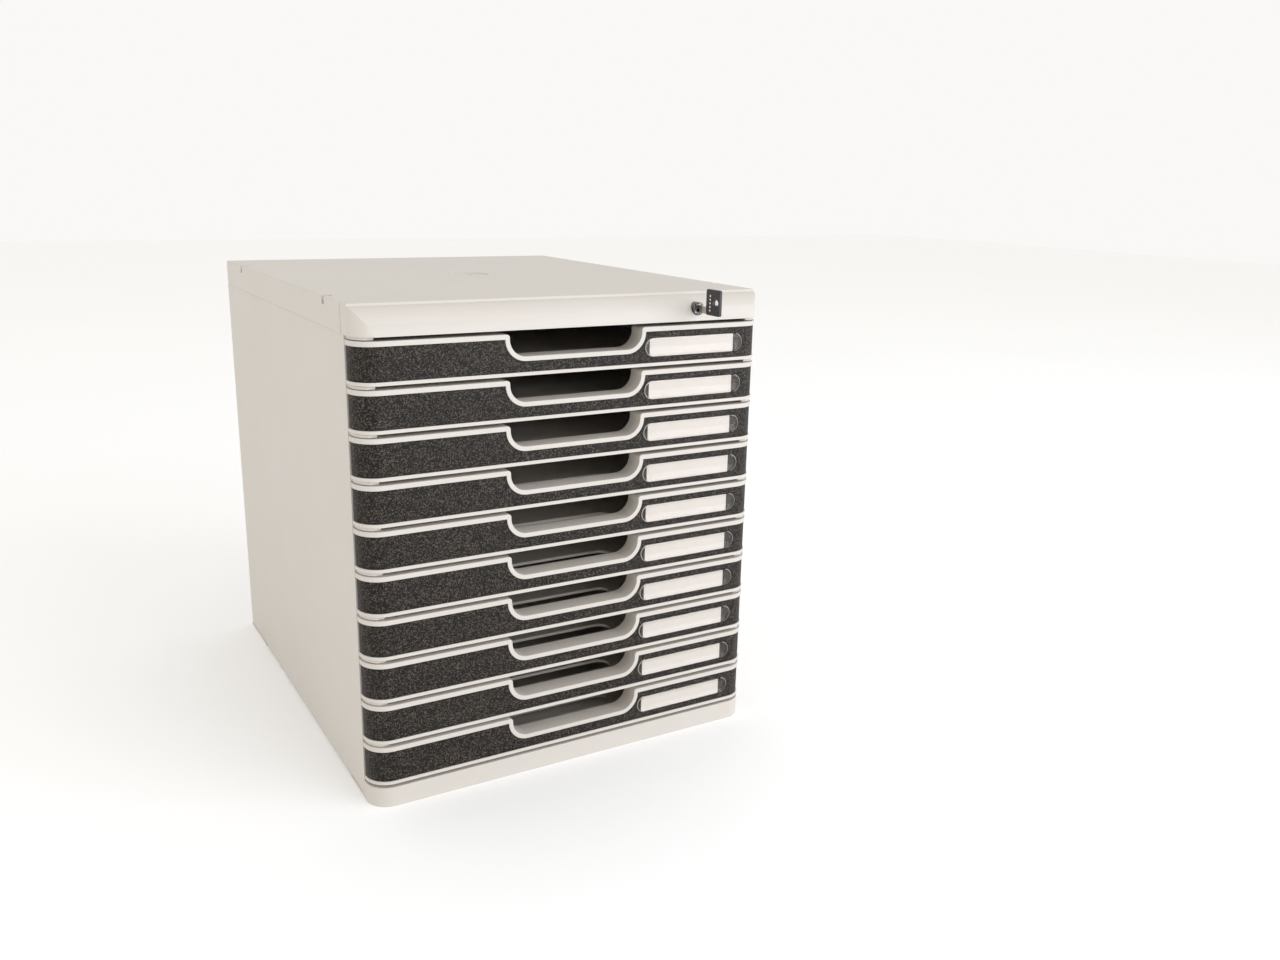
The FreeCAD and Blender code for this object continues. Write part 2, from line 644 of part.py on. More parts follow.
def make_card():
    """Paper label card of one drawer at height zero, lying on the floor of its pocket."""
    x = POCKET_X + CARD_OFFSET
    half = CARD_LENGTH / 2
    z0 = POCKET_Z - CARD_HEIGHT / 2
    return box(x - half, x + half, POCKET_FLOOR_Y - CARD_THICKNESS, POCKET_FLOOR_Y, z0, z0 + CARD_HEIGHT)


def make_lock_barrel():
    """Fixed lock barrel: a bezel that sits in the lid's front and a tube that goes through it."""
    bezel = rod(BEZEL_RADIUS, FRONT_Y - BEZEL_PROUD, BEZEL_SEAT_Y, LOCK_X, LOCK_Z)
    bezel = bezel.makeFillet(BEZEL_ROUND, [min(bezel.Edges, key=lambda edge: edge.CenterOfMass.y)])
    tube = rod(BARREL_RADIUS, BEZEL_SEAT_Y, BARREL_REAR_Y, LOCK_X, LOCK_Z)
    bore = rod(PLUG_RADIUS + PLUG_CLEARANCE, FRONT_Y - BEZEL_PROUD, BARREL_REAR_Y, LOCK_X, LOCK_Z)
    return joined(bezel, tube).cut(bore)


def make_lock_nut():
    """Hexagon nut that holds the barrel behind the lid's boss."""
    corner = NUT_FLATS / math.sqrt(3)
    rear_y = BOSS_REAR_Y + NUT_THICKNESS
    points = []
    for turn in range(7):
        angle = math.radians(60 * turn)
        x = LOCK_X + corner * math.cos(angle)
        points.append(Vector(x, BOSS_REAR_Y, LOCK_Z + corner * math.sin(angle)))
    nut = outline(points[0], *points[1:]).extrude(Vector(0, NUT_THICKNESS, 0))
    return nut.cut(rod(BARREL_RADIUS + PLUG_CLEARANCE, BOSS_REAR_Y, rear_y, LOCK_X, LOCK_Z))


def make_lock_plug():
    """Turning plug of the lock, with an upright keyway from its face and a screw hole in its tail."""
    plug = rod(PLUG_RADIUS, PLUG_FACE_Y, CAM_FRONT_Y, LOCK_X, LOCK_Z)
    wide = KEY_THICKNESS / 2 + KEYWAY_CLEARANCE
    tall = KEY_WIDTH / 2 + KEYWAY_CLEARANCE
    end_y = PLUG_FACE_Y + KEY_REACH + 2 * KEYWAY_CLEARANCE
    plug = plug.cut(box(LOCK_X - wide, LOCK_X + wide, PLUG_FACE_Y, end_y, LOCK_Z - tall, LOCK_Z + tall))
    hole_end_y = CAM_REAR_Y - SCREW_SHANK
    return plug.cut(rod(SCREW_SHANK_RADIUS, hole_end_y, CAM_FRONT_Y, LOCK_X, LOCK_Z))


def make_cam():
    """Cam disc on the plug's tail, with the eccentric pin that moves the locking bar."""
    disc = rod(CAM_RADIUS, CAM_FRONT_Y, CAM_REAR_Y, LOCK_X, LOCK_Z)
    disc = disc.cut(rod(SCREW_SHANK_RADIUS, CAM_FRONT_Y, CAM_REAR_Y, LOCK_X, LOCK_Z))
    pin_rear_y = CAM_REAR_Y + CAM_PIN_LENGTH
    return joined(disc, rod(CAM_PIN_RADIUS, CAM_REAR_Y, pin_rear_y, LOCK_X, LOCK_Z + CAM_THROW))


def make_cam_screw():
    """Screw that holds the cam on the plug's tail."""
    head = rod(SCREW_RADIUS, CAM_REAR_Y, CAM_REAR_Y + SCREW_HEAD, LOCK_X, LOCK_Z)
    head = head.makeFillet(SCREW_ROUND, [max(head.Edges, key=lambda edge: edge.CenterOfMass.y)])
    x0 = LOCK_X - SCREW_RADIUS
    x1 = LOCK_X + SCREW_RADIUS
    slot_half = SCREW_SLOT / 2
    slot_y = CAM_REAR_Y + SCREW_HEAD / 2
    slot = box(x0, x1, slot_y, EAR_FRONT_Y, LOCK_Z - slot_half, LOCK_Z + slot_half)
    shank = rod(SCREW_SHANK_RADIUS, CAM_REAR_Y - SCREW_SHANK, CAM_REAR_Y, LOCK_X, LOCK_Z)
    return joined(head.cut(slot), shank)


def key_blade_outline():
    """Flat steel blade of the key, from its end in the plug to its end in the head."""
    low_z = LOCK_Z - KEY_WIDTH / 2
    high_z = LOCK_Z + KEY_WIDTH / 2
    half = KEY_THICKNESS / 2
    rear_y = PLUG_FACE_Y + KEY_REACH
    return box(LOCK_X - half, LOCK_X + half, HEAD_REAR_Y - HEAD_SOCKET, rear_y, low_z, high_z)


def make_key_blade():
    """Key blade with its bits cut along the lower edge and a sloping tip."""
    blade = key_blade_outline()
    half = KEY_THICKNESS / 2
    tip_y = PLUG_FACE_Y + KEY_REACH
    low_z = LOCK_Z - KEY_WIDTH / 2
    step = KEY_REACH / (KEY_BITS + 1)
    for bit in range(KEY_BITS):
        y = tip_y - step * (bit + 1)
        start = Vector(LOCK_X - half, y - KEY_BIT_LENGTH / 2, low_z)
        top_z = low_z + KEY_BIT_DEPTH
        notch = outline(
            start,
            Vector(LOCK_X - half, y - KEY_BIT_FLAT / 2, top_z),
            Vector(LOCK_X - half, y + KEY_BIT_FLAT / 2, top_z),
            Vector(LOCK_X - half, y + KEY_BIT_LENGTH / 2, low_z),
            start,
        )
        blade = blade.cut(notch.extrude(Vector(KEY_THICKNESS, 0, 0)))
    tip = Vector(LOCK_X - half, tip_y - KEY_TIP_SLOPE, low_z)
    corner = outline(tip, Vector(LOCK_X - half, tip_y, low_z), Vector(LOCK_X - half, tip_y, LOCK_Z), tip)
    return blade.cut(corner.extrude(Vector(KEY_THICKNESS, 0, 0)))


def make_key_head():
    """Flat plastic head of the key, taller above the blade than below it, with a pointed hole for a ring."""
    half = HEAD_THICKNESS / 2
    bottom_z = LOCK_Z - HEAD_BELOW_AXIS
    outer_y = HEAD_REAR_Y - HEAD_LENGTH
    head = box(LOCK_X - half, LOCK_X + half, outer_y, HEAD_REAR_Y, bottom_z, bottom_z + HEAD_HEIGHT)
    across = [edge for edge in head.Edges if abs(edge.Vertexes[0].X - edge.Vertexes[-1].X) > half]
    head = head.makeFillet(HEAD_CORNER, across)
    rims = [edge for edge in head.Edges if abs(edge.CenterOfMass.x - LOCK_X) > half - HEAD_EDGE_ROUND]
    head = head.makeFillet(HEAD_EDGE_ROUND, rims)
    x = LOCK_X - half
    hole_y = outer_y + HEAD_HOLE_INSET
    side_y = HEAD_HOLE_WIDTH / 2
    floor_z = bottom_z + HEAD_HOLE_RISE
    eaves_z = floor_z + HEAD_HOLE_WALL
    start = Vector(x, hole_y - side_y, floor_z)
    hole = outline(
        start,
        Vector(x, hole_y - side_y, eaves_z),
        Vector(x, hole_y, eaves_z + HEAD_HOLE_ROOF),
        Vector(x, hole_y + side_y, eaves_z),
        Vector(x, hole_y + side_y, floor_z),
        start,
    )
    return head.cut(hole.extrude(Vector(HEAD_THICKNESS, 0, 0))).cut(key_blade_outline())


def make_lock_bar():
    """Locking bar: upright strip with a tooth for each drawer, and an arm to the cam under the lid."""
    arm_top = ARM_BOTTOM + BAR_THICKNESS
    bottom = drawer_z(DRAWERS) + TOOTH_BOTTOM - CATCH_MARGIN
    ear_x0 = LOCK_X - EAR_WIDTH / 2
    ear_x1 = LOCK_X + EAR_WIDTH / 2
    ear_top = HEIGHT - LID_SKIN - EAR_GAP
    strip = box(BAR_INNER, BAR_OUTER, BAR_FRONT_Y, BAR_REAR_Y, bottom, arm_top)
    parts = [
        box(ear_x0, BAR_OUTER, BAR_FRONT_Y, BAR_REAR_Y, ARM_BOTTOM, arm_top),
        box(ear_x0, ear_x1, EAR_FRONT_Y, EAR_FRONT_Y + BAR_THICKNESS, ARM_BOTTOM, ear_top),
    ]
    for number in range(1, DRAWERS + 1):
        z = drawer_z(number) + TOOTH_BOTTOM
        tooth_rear_y = BAR_FRONT_Y + TOOTH_LENGTH
        parts.append(box(TOOTH_TIP, BAR_INNER, BAR_FRONT_Y, tooth_rear_y, z, z + TOOTH_HEIGHT))
    bar = joined(strip, *parts)
    half = CAM_PIN_RADIUS + EAR_SLOT_SIDE
    slot_bottom = LOCK_Z - CAM_PIN_RADIUS - EAR_SLOT_END
    slot_top = LOCK_Z + CAM_THROW + CAM_PIN_RADIUS + EAR_SLOT_END
    return bar.cut(box(LOCK_X - half, LOCK_X + half, EAR_FRONT_Y, BAR_REAR_Y, slot_bottom, slot_top))


def save(name, shape):
    """Write one piece to its own file and report its size."""
    shape.exportStep("parts/" + name + ".step")
    print(name, "solids", len(shape.Solids), "volume", round(shape.Volume), "valid", shape.isValid())


def main():
    """Make every piece in its place and write them all."""
    os.makedirs("parts", exist_ok=True)
    side = make_side()
    save("base", make_base())
    save("side_left", mirrored(side))
    save("side_right", side.cut(bar_slot()))
    save("back_panel", make_back())
    save("lid", make_lid())
    save("lock_barrel", make_lock_barrel())
    save("lock_nut", make_lock_nut())
    save("lock_plug", make_lock_plug())
    save("lock_cam", make_cam())
    save("cam_screw", make_cam_screw())
    save("key_blade", make_key_blade())
    save("key_head", make_key_head())
    save("lock_bar", make_lock_bar())
    drawer_pieces = {
        "tray": make_tray(),
        "front_panel": make_front_panel(),
        "label_window": make_window(),
        "label_card": make_card(),
    }
    for number in range(1, DRAWERS + 1):
        for name, shape in drawer_pieces.items():
            placed = shape.translated(Vector(0, 0, drawer_z(number)))
            save(f"{name}_{number:02d}", placed)


main()
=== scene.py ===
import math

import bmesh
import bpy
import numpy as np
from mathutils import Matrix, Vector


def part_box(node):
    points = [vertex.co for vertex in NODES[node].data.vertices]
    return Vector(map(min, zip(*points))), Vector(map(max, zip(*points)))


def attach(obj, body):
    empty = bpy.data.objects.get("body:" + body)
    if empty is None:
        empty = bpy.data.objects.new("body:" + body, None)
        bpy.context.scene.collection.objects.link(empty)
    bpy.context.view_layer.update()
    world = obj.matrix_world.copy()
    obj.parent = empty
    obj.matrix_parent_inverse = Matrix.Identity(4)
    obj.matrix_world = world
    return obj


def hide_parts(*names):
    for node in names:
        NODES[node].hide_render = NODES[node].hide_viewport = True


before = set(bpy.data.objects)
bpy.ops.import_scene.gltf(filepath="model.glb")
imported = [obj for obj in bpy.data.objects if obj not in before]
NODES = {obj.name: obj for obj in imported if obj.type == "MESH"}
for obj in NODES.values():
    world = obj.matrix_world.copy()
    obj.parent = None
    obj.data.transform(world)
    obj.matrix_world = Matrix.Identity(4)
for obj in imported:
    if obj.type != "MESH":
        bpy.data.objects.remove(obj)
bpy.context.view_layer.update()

# %% [markdown]
# # A desktop drawer unit, dressed for its picture
# The frame that was just loaded is the construction: case, lid, ten drawers, lock and key, all at their
# real size. This notebook gives every one of those solids the finish of the real plastic, paper or metal,
# and makes anew the few pieces whose look depends on a shape that a flat-sided solid can't show: the
# clear label lenses, the paper labels and the dots on the key.

MM = 0.001
DRAWERS = sorted(name[-2:] for name in NODES if name.startswith("tray_"))
print("solids in the frame:", len(NODES), "drawers:", len(DRAWERS))

# %% [markdown]
# ## Three small helpers for materials
# Colours are picked as they look on a screen, so they are written as sRGB hex. A renderer adds
# light in linear numbers, so one function turns the hex into them: each channel is (c + 0.055) / 1.055 to
# the power 2.4, and c / 12.92 for the darkest tones. The second helper adds a node, gives it its settings
# and fills its sockets with plain values or with links. The third starts a material that holds nothing
# but its output.

# %% Colours and nodes
def linear(hex_colour):
    """Linear red, green, blue and alpha of an sRGB hex colour such as "#D9D4CC"."""
    channels = [int(hex_colour[i:i + 2], 16) / 255 for i in (1, 3, 5)]
    return [c / 12.92 if c <= 0.04045 else ((c + 0.055) / 1.055) ** 2.4 for c in channels] + [1.0]


def add(tree, kind, sockets=(), **settings):
    """A new node with its settings; sockets maps an input's name or number to a value or to an output."""
    node = tree.nodes.new(kind)
    for name, value in settings.items():
        setattr(node, name, value)
    for name, value in dict(sockets).items():
        if isinstance(value, bpy.types.NodeSocket):
            tree.links.new(value, node.inputs[name])
        else:
            node.inputs[name].default_value = value
    return node


def new_material(name):
    """An empty node material with its output, as (material, tree, output)."""
    material = bpy.data.materials.new(name)
    material.use_nodes = True
    tree = material.node_tree
    tree.nodes.clear()
    return material, tree, add(tree, "ShaderNodeOutputMaterial")


print("mid grey #808080 in linear numbers:", [round(c, 3) for c in linear("#808080")[:3]])

# %% [markdown]
# ## Moulded plastic
# The case, the lid, the drawers and the key's head are injection-moulded ABS. The steel mould is
# spark-eroded, and the plastic copies its fine pits: the skin is satin, never a mirror, and a highlight
# breaks up at its borders. Every edge comes out of the mould slightly round, because a mould can't hold a
# razor edge. The pits are a noise on Object coordinates, so their size is a real one in millimetres. The
# round edges are the Bevel node, which bends the shading normal near an edge by a radius, again in real
# size: the solids are loose triangles with exact edges, and cutting hundreds of real bevels into them
# would tear their thin triangles. A second, broad noise shifts the colour by a hair, as pigment and light
# do on a large moulding.

# %% The recipe for moulded plastic
ABS_IOR = 1.54
GLOSS_SPREAD = 0.06
EDGE_RAYS = 6


def moulded(name, body, shade, roughness, pit_mm, depth_mm, edge_mm, cloud_mm=60.0):
    """Satin moulded plastic: colour from body to shade in broad clouds, and fine pits of a real size."""
    material, tree, output = new_material(name)
    place = add(tree, "ShaderNodeTexCoord").outputs["Object"]
    cloud = add(tree, "ShaderNodeTexNoise", {"Vector": place, "Scale": 1 / (cloud_mm * MM), "Detail": 2.0})
    colour = add(tree, "ShaderNodeMix", {0: cloud.outputs["Fac"], 6: linear(body), 7: linear(shade)},
                 data_type="RGBA")
    pits = add(tree, "ShaderNodeTexNoise", {"Vector": place, "Scale": 1 / (pit_mm * MM), "Detail": 3.0})
    soft = add(tree, "ShaderNodeBevel", {"Radius": edge_mm * MM}, samples=EDGE_RAYS)
    bump = add(tree, "ShaderNodeBump", {"Strength": 1.0, "Distance": depth_mm * MM,
                                        "Height": pits.outputs["Fac"], "Normal": soft.outputs["Normal"]})
    gloss = add(tree, "ShaderNodeMapRange", {"Value": pits.outputs["Fac"],
                                             "To Min": roughness - GLOSS_SPREAD,
                                             "To Max": roughness + GLOSS_SPREAD})
    skin = add(tree, "ShaderNodeBsdfPrincipled", {"Base Color": colour.outputs[2],
                                                  "Roughness": gloss.outputs["Result"], "IOR": ABS_IOR,
                                                  "Normal": bump.outputs["Normal"]})
    tree.links.new(skin.outputs["BSDF"], output.inputs["Surface"])
    return material


CASE_ABS = moulded("warm_grey_abs", "#C8C2BA", "#C4BDB4", roughness=0.52, pit_mm=0.7, depth_mm=0.02,
                   edge_mm=0.5)
KEY_ABS = moulded("black_abs", "#121111", "#191818", roughness=0.38, pit_mm=0.6, depth_mm=0.02,
                  edge_mm=0.3)
print("plastics:", CASE_ABS.name, KEY_ABS.name)

# %% [markdown]
# ## The grained front panels
# Each drawer front carries a dark anthracite panel with a much coarser mould grain: a field of tiny
# facets that flash where they face the lamp, so the panel sparkles like coarse sandpaper. Between the
# facets a rough pit swallows the light that falls into it; that shade is painted into the colour, which
# goes nearly black in the pits and lighter on the facets' crests as a painted sparkle. Cells of a Voronoi
# pattern stand for the facets: each has its own tilt and its own tone, and a noise breaks their borders
# up. Real facets are near 0.4 mm; they are drawn at 0.6 mm so that the sparkle shows at this distance.
# Smooth ABS has an IOR of 1.54. The pits break its sheen up, so the grain is matched by a lower one.

# %% Anthracite plastic with a coarse grain
GRAIN_MM = 0.6
GRAIN_DEPTH_MM = 0.08
GRAIN_ROUGHNESS = 0.5
PANEL_EDGE_MM = 0.3
SHADED_PIT_LEVEL, SPARKLE_CREST_LEVEL = 1.08, 1.55
PANEL_IOR = 1.32


def grained_anthracite():
    """Dark plastic with coarse mould grain: cells of their own tone and height, under a fine noise; the
    colour is painted darker in the pits as shade and lighter on the crests as sparkle.
    """
    material, tree, output = new_material("grained_anthracite_abs")
    place = add(tree, "ShaderNodeTexCoord").outputs["Object"]
    facets = add(tree, "ShaderNodeTexVoronoi", {"Vector": place, "Scale": 1 / (GRAIN_MM * MM)})
    tone = add(tree, "ShaderNodeSeparateColor", {"Color": facets.outputs["Color"]}).outputs["Red"]
    fine = add(tree, "ShaderNodeTexNoise", {"Vector": place, "Scale": 2 / (GRAIN_MM * MM), "Detail": 3.0})
    height = add(tree, "ShaderNodeMath", {0: tone, 1: fine.outputs["Fac"]}, operation="ADD")
    # Painted shade and sparkle: the colour runs from near black at the pits' level to lighter at the crests'
    # level.
    painted_pit_shade_and_sparkle = add(tree, "ShaderNodeMapRange", {"Value": height.outputs["Value"], "From Min": SHADED_PIT_LEVEL,
                                            "From Max": SPARKLE_CREST_LEVEL})
    colour = add(tree, "ShaderNodeMix", {0: painted_pit_shade_and_sparkle.outputs["Result"], 6: linear("#0A0807"),
                                         7: linear("#5C5146")}, data_type="RGBA")
    soft = add(tree, "ShaderNodeBevel", {"Radius": PANEL_EDGE_MM * MM}, samples=EDGE_RAYS)
    bump = add(tree, "ShaderNodeBump", {"Strength": 1.0, "Distance": GRAIN_DEPTH_MM * MM,
                                        "Height": height.outputs["Value"], "Normal": soft.outputs["Normal"]})
    skin = add(tree, "ShaderNodeBsdfPrincipled", {"Base Color": colour.outputs[2], "IOR": PANEL_IOR,
                                                  "Roughness": GRAIN_ROUGHNESS,
                                                  "Normal": bump.outputs["Normal"]})
    tree.links.new(skin.outputs["BSDF"], output.inputs["Surface"])
    return material


PANEL_ABS = grained_anthracite()
print("panel grain in mm:", GRAIN_MM)

# %% [markdown]
# ## Metals of the lock and key
# The lock's ring and plug are plated metal drawn dark: the near-black tint is a painted reflection of
# dark surroundings, and pale patches in it are painted glints. Its cam, screw and nut are zinc plated,
# and the key's blade is nickel plated and drawn through a die, which leaves fine lines along it. The
# locking bar is bent from galvanised strip. All are metallic at 1.0 with the default IOR; they differ in
# tint, in roughness and in the small marks.

# %% The recipe for a plated metal
METAL_EDGE_MM = 0.15
LEAST_WEAR_AND_GLINT, MOST_WEAR_AND_GLINT = 0.38, 0.62
POLISHED, RUBBED = 0.8, 1.3


def plated(name, tint, dull, roughness, mark_mm, depth_mm, stretch=(1.0, 1.0, 1.0)):
    """Plated metal: a tint that wanders to a duller one, in patches of wear or, on the lock, of painted
    glints, and marks of a real size, drawn out by stretch.
    """
    material, tree, output = new_material(name)
    place = add(tree, "ShaderNodeTexCoord").outputs["Object"]
    drawn = add(tree, "ShaderNodeMapping", {"Vector": place, "Scale": stretch})
    marks = add(tree, "ShaderNodeTexNoise", {"Vector": drawn.outputs["Vector"], "Scale": 1 / (mark_mm * MM),
                                             "Detail": 3.0})
    wear_and_painted_glint = add(tree, "ShaderNodeMapRange", {"Value": marks.outputs["Fac"], "From Min": LEAST_WEAR_AND_GLINT,
                                            "From Max": MOST_WEAR_AND_GLINT})
    colour = add(tree, "ShaderNodeMix", {0: wear_and_painted_glint.outputs["Result"], 6: linear(tint), 7: linear(dull)},
                 data_type="RGBA")
    soft = add(tree, "ShaderNodeBevel", {"Radius": METAL_EDGE_MM * MM}, samples=EDGE_RAYS)
    bump = add(tree, "ShaderNodeBump", {"Strength": 1.0, "Distance": depth_mm * MM,
                                        "Height": marks.outputs["Fac"], "Normal": soft.outputs["Normal"]})
    gloss = add(tree, "ShaderNodeMapRange", {"Value": marks.outputs["Fac"], "To Min": roughness * POLISHED,
                                             "To Max": roughness * RUBBED})
    skin = add(tree, "ShaderNodeBsdfPrincipled", {"Base Color": colour.outputs[2], "Metallic": 1.0,
                                                  "Roughness": gloss.outputs["Result"],
                                                  "Normal": bump.outputs["Normal"]})
    tree.links.new(skin.outputs["BSDF"], output.inputs["Surface"])
    return material


# The lock's metal: its near-black colour is a painted dark reflection and its pale patches are painted
# glints.
LOCK_METAL_PAINTED_REFLECTION = plated("lock_metal_painted_reflection", "#8B8884", "#0B0A0A", roughness=0.14, mark_mm=1.6, depth_mm=0.04)
ZINC = plated("zinc_plate", "#B9BBC0", "#A5A7AB", roughness=0.32, mark_mm=1.5, depth_mm=0.01)
BRIGHT_NICKEL = plated("nickel_plate", "#C6C3BC", "#B5B1A9", roughness=0.22, mark_mm=0.5, depth_mm=0.004,
                       stretch=(1.0, 0.06, 1.0))
GALVANISED = plated("galvanised_strip", "#B4B8BC", "#9A9EA3", roughness=0.38, mark_mm=4.0, depth_mm=0.01,
                    stretch=(1.0, 1.0, 0.2))
print("metals:", LOCK_METAL_PAINTED_REFLECTION.name, ZINC.name, BRIGHT_NICKEL.name, GALVANISED.name)

# %% [markdown]
# ## Paper and clear plastic
# The labels are matt card with short fibres that only just cloud its white. The lenses over them are
# clear acrylic, polished like the mould. In a path tracer a clear solid throws a hard, dark shadow,
# because the lamp can't be aimed at through it; so for shadow rays the lens is simply see-through, and
# the paper behind gets the daylight it really gets. Acrylic has an IOR of 1.49; beside the labels the
# lenses look as dark as the panel, so they are matched by a lower one, which mirrors less of the white
# room.

# %% Paper and lens materials
FIBRE_MM = 0.5
FIBRE_DEPTH_MM = 0.02
PAPER_ROUGHNESS = 0.85
FLOW_MM = 8.0
LEAST_HAZE, MOST_HAZE = 0.02, 0.07
ACRYLIC_IOR = 1.34


def label_card_paper():
    """White card: fibres as a fine noise in tint and bump."""
    material, tree, output = new_material("white_card_paper")
    place = add(tree, "ShaderNodeTexCoord").outputs["Object"]
    fibres = add(tree, "ShaderNodeTexNoise", {"Vector": place, "Scale": 1 / (FIBRE_MM * MM), "Detail": 5.0})
    colour = add(tree, "ShaderNodeMix", {0: fibres.outputs["Fac"], 6: linear("#D2CDCA"),
                                         7: linear("#C9C4C0")}, data_type="RGBA")
    bump = add(tree, "ShaderNodeBump", {"Strength": 1.0, "Distance": FIBRE_DEPTH_MM * MM,
                                        "Height": fibres.outputs["Fac"]})
    skin = add(tree, "ShaderNodeBsdfPrincipled", {"Base Color": colour.outputs[2],
                                                  "Roughness": PAPER_ROUGHNESS,
                                                  "Normal": bump.outputs["Normal"]})
    tree.links.new(skin.outputs["BSDF"], output.inputs["Surface"])
    return material


def clear_acrylic():
    """Clear lens: a polished solid to the eye, see-through to the lamps; its gloss clouds by a hair."""
    material, tree, output = new_material("clear_acrylic")
    place = add(tree, "ShaderNodeTexCoord").outputs["Object"]
    flow = add(tree, "ShaderNodeTexNoise", {"Vector": place, "Scale": 1 / (FLOW_MM * MM), "Detail": 1.0})
    gloss = add(tree, "ShaderNodeMapRange", {"Value": flow.outputs["Fac"], "To Min": LEAST_HAZE,
                                             "To Max": MOST_HAZE})
    solid = add(tree, "ShaderNodeBsdfPrincipled", {"Base Color": linear("#FBF8F3"), "IOR": ACRYLIC_IOR,
                                                   "Roughness": gloss.outputs["Result"],
                                                   "Transmission Weight": 1.0})
    open_way = add(tree, "ShaderNodeBsdfTransparent", {"Color": linear("#F7F6F4")})
    rays = add(tree, "ShaderNodeLightPath")
    lens = add(tree, "ShaderNodeMixShader", {0: rays.outputs["Is Shadow Ray"], 1: solid.outputs["BSDF"],
                                             2: open_way.outputs["BSDF"]})
    tree.links.new(lens.outputs["Shader"], output.inputs["Surface"])
    return material


PAPER = label_card_paper()
CLEAR = clear_acrylic()
# A pale plastic for the lens's end faces: a painted highlight for the bright arc there.
PAINTED_RIM_HIGHLIGHT = moulded("painted_rim_highlight", "#B9B4AC", "#8E8982", roughness=0.25, pit_mm=1.5, depth_mm=0.01,
                  edge_mm=0.1)
print("label materials:", PAPER.name, CLEAR.name, PAINTED_RIM_HIGHLIGHT.name)

# %% [markdown]
# ## Smooth where it is round, crisp where it is not
# The frame's solids come as loose triangles. Left alone, the lid's bulge and the case's corners would
# show them. A small Geometry Nodes modifier joins the triangles' shared corners and shades the surface
# smooth, except along edges that turn by more than a set angle. A modifier leaves the frame's own mesh
# untouched, which the frame demands.

# %% The smoothing modifier
CRISP_ANGLE = math.radians(32)
JOIN_MM = 0.002


def smoothing_group():
    """Geometry nodes: join doubles, shade faces smooth, keep edges over the crisp angle sharp."""
    tree = bpy.data.node_groups.new("smooth_where_round", "GeometryNodeTree")
    tree.interface.new_socket("Geometry", in_out="INPUT", socket_type="NodeSocketGeometry")
    tree.interface.new_socket("Geometry", in_out="OUTPUT", socket_type="NodeSocketGeometry")
    loose = add(tree, "NodeGroupInput").outputs["Geometry"]
    joined = add(tree, "GeometryNodeMergeByDistance", {"Geometry": loose, "Distance": JOIN_MM * MM})
    faces = add(tree, "GeometryNodeSetShadeSmooth", {"Geometry": joined.outputs["Geometry"],
                                                     "Shade Smooth": True}, domain="FACE")
    turn = add(tree, "GeometryNodeInputMeshEdgeAngle").outputs["Unsigned Angle"]
    crisp = add(tree, "FunctionNodeCompare", {0: turn, 1: CRISP_ANGLE}, data_type="FLOAT",
                operation="GREATER_THAN")
    edges = add(tree, "GeometryNodeSetShadeSmooth", {"Geometry": faces.outputs["Geometry"],
                                                     "Selection": crisp.outputs["Result"],
                                                     "Shade Smooth": False}, domain="EDGE")
    add(tree, "NodeGroupOutput", {"Geometry": edges.outputs["Geometry"]})
    return tree


SMOOTHING = smoothing_group()


def dress(name, material):
    """Gives a frame solid its finish and its smooth shading."""
    solid = NODES[name]
    solid.data.materials.clear()
    solid.data.materials.append(material)
    solid.modifiers.new("smooth_where_round", "NODES").node_group = SMOOTHING
    return solid


# %% [markdown]
# ## Which finish goes where
# Case, lid and drawers are one plastic, and the panels in the fronts another. A table names the finish of
# each solid, and a loop dresses them. Only the label windows and cards are left, because new pieces take
# their place.

# %% Every solid of the frame gets its finish
FINISHES = {
    "base": CASE_ABS, "side_left": CASE_ABS, "side_right": CASE_ABS, "back_panel": CASE_ABS,
    "lid": CASE_ABS,
    "lock_barrel": LOCK_METAL_PAINTED_REFLECTION, "lock_plug": LOCK_METAL_PAINTED_REFLECTION,
    "lock_nut": ZINC, "lock_cam": ZINC, "cam_screw": ZINC, "lock_bar": GALVANISED,
    "key_blade": BRIGHT_NICKEL, "key_head": KEY_ABS,
}
for number in DRAWERS:
    FINISHES["tray_" + number] = CASE_ABS
    FINISHES["front_panel_" + number] = PANEL_ABS
for name, material in FINISHES.items():
    dress(name, material)
print("solids dressed:", len(FINISHES), "left for new pieces:", len(set(NODES) - set(FINISHES)))

# %% [markdown]
# ## Surfaces from two parameters
# The new pieces are grids of points: one parameter runs round the outline, the other along a profile.
# Numpy works out the whole grid at once, and one helper turns it into a mesh. Where the profile ends on
# the middle line, many points fall together; joining doubles closes the surface there.

# %% A grid of points becomes a piece
def grid_quads(rows, columns):
    """Corner numbers of the faces between neighbouring rows, closed round the columns."""
    index = np.arange(rows * columns).reshape(rows, columns)
    after = np.roll(index, -1, axis=1)
    return np.stack([index[:-1], after[:-1], after[1:], index[1:]], axis=-1).reshape(-1, 4)


def middle_and_half(low, high):
    """Middle and half size of a box: (low + high) / 2 and (high - low) / 2."""
    return (low + high) / 2, (high - low) / 2


def piece_from_grid(name, points, material, body, node=None):
    """A closed round-trip grid (rows along the profile, columns round the outline) as an object."""
    quads = grid_quads(*points.shape[:2])
    mesh = bpy.data.meshes.new(name)
    mesh.from_pydata((points.reshape(-1, 3) * MM).tolist(), [], quads.tolist())
    return finish_piece(name, mesh, material, body, node)


def finish_piece(name, mesh, material, body, node=None):
    """Joins doubles, turns faces outwards, shades smooth and lets the piece ride on its body."""
    work = bmesh.new()
    work.from_mesh(mesh)
    bmesh.ops.remove_doubles(work, verts=work.verts, dist=JOIN_MM * MM)
    bmesh.ops.dissolve_degenerate(work, dist=JOIN_MM * MM, edges=work.edges)
    bmesh.ops.recalc_face_normals(work, faces=work.faces)
    for face in work.faces:
        face.smooth = True
    open_edges = sum(not edge.is_manifold for edge in work.edges)
    work.to_mesh(mesh)
    work.free()
    piece = bpy.data.objects.new(name, mesh)
    bpy.context.scene.collection.objects.link(piece)
    mesh.materials.append(material)
    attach(piece, body)
    if node:
        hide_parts(node)
    return piece, open_edges
